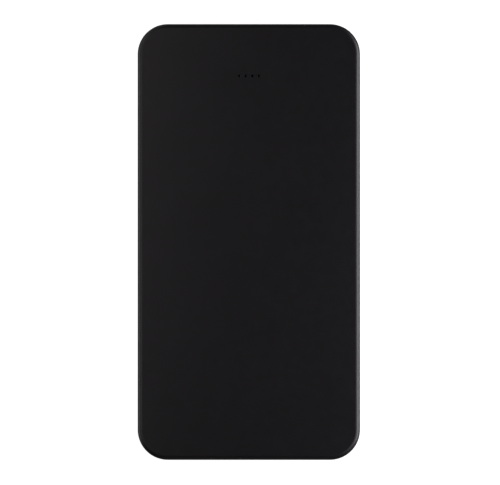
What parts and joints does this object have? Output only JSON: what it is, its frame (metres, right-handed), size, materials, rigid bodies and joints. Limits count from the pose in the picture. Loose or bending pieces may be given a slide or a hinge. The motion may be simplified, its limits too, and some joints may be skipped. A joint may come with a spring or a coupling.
{
  "type": "power bank",
  "caption": "Slim rectangular power bank with rounded edges, USB sockets in one end, a row of pin-hole charge lights on the front and a press button in the side.",
  "frame": {"origin": "centre of the back face, which is the face it lies on", "axes": "+Z out of the front face, +Y towards the end with the sockets, +X towards the side with the button"},
  "size_m": [0.068, 0.1334, 0.014],
  "materials": {
    "case_plastic": "fine-grained matte black",
    "button_plastic": "satin black",
    "steel": "nickel-plated sheet",
    "contact_gold": "gold-plated",
    "tab_nickel": "satin nickel",
    "white_plastic": "moulded white",
    "black_plastic": "moulded black",
    "solder_mask": "green solder mask over glass laminate",
    "pouch_foil": "satin laminated foil",
    "ferrite": "matte pressed powder",
    "capacitor_ceramic": "fired ceramic",
    "clear_plastic": "clear moulding",
    "foam": "soft black foam",
    "adhesive": "white double-sided tape"
  },
  "bodies": {
    "case": {"front_cover": "case_plastic", "back_cover": "case_plastic", "switch_body": "black_plastic", "circuit_board": "solder_mask", "board_screw_left": "steel", "board_screw_right": "steel", "usb_a_left_shell": "steel", "usb_a_left_insulator": "white_plastic", "usb_a_left_contact_1": "contact_gold", "usb_a_left_contact_2": "contact_gold", "usb_a_left_contact_3": "contact_gold", "usb_a_left_contact_4": "contact_gold", "usb_a_right_shell": "steel", "usb_a_right_insulator": "white_plastic", "usb_a_right_contact_1": "contact_gold", "usb_a_right_contact_2": "contact_gold", "usb_a_right_contact_3": "contact_gold", "usb_a_right_contact_4": "contact_gold", "usb_c_shell": "steel", "usb_c_insulator": "black_plastic", "usb_c_riser": "black_plastic", "controller_chip": "black_plastic", "power_transistor_left": "black_plastic", "power_transistor_right": "black_plastic", "output_capacitor_left": "capacitor_ceramic", "output_capacitor_right": "capacitor_ceramic", "input_capacitor_left": "capacitor_ceramic", "input_capacitor_right": "capacitor_ceramic", "power_inductor": "ferrite", "charge_light_1": "white_plastic", "charge_light_2": "white_plastic", "charge_light_3": "white_plastic", "charge_light_4": "white_plastic", "light_shield": "black_plastic", "light_guide": "clear_plastic", "thermistor": "black_plastic", "cell_lower": "pouch_foil", "cell_upper": "pouch_foil", "tab_lower_negative": "tab_nickel", "tab_lower_positive": "tab_nickel", "tab_upper_negative": "tab_nickel", "tab_upper_positive": "tab_nickel", "foam_pad_back": "foam", "cell_bonding_tape": "adhesive", "foam_pad_front": "foam"},
    "power_button": {"power_button": "button_plastic"},
    "switch_plunger": {"switch_plunger": "black_plastic"}
  },
  "joints": [
    {"name": "power_button_press", "type": "slide", "parent": "case", "child": "power_button", "axis": [-1, 0, 0], "range_m": [0, 0.0004], "stiffness_N_per_m": 1500, "springref_m": -0.0005},
    {"name": "switch_plunger_press", "type": "slide", "parent": "case", "child": "switch_plunger", "axis": [-1, 0, 0], "range_m": [0, 0.0004]}
  ],
  "couplings": [
    {"joint": "switch_plunger_press", "follows": "power_button_press", "ratio": 1}
  ]
}
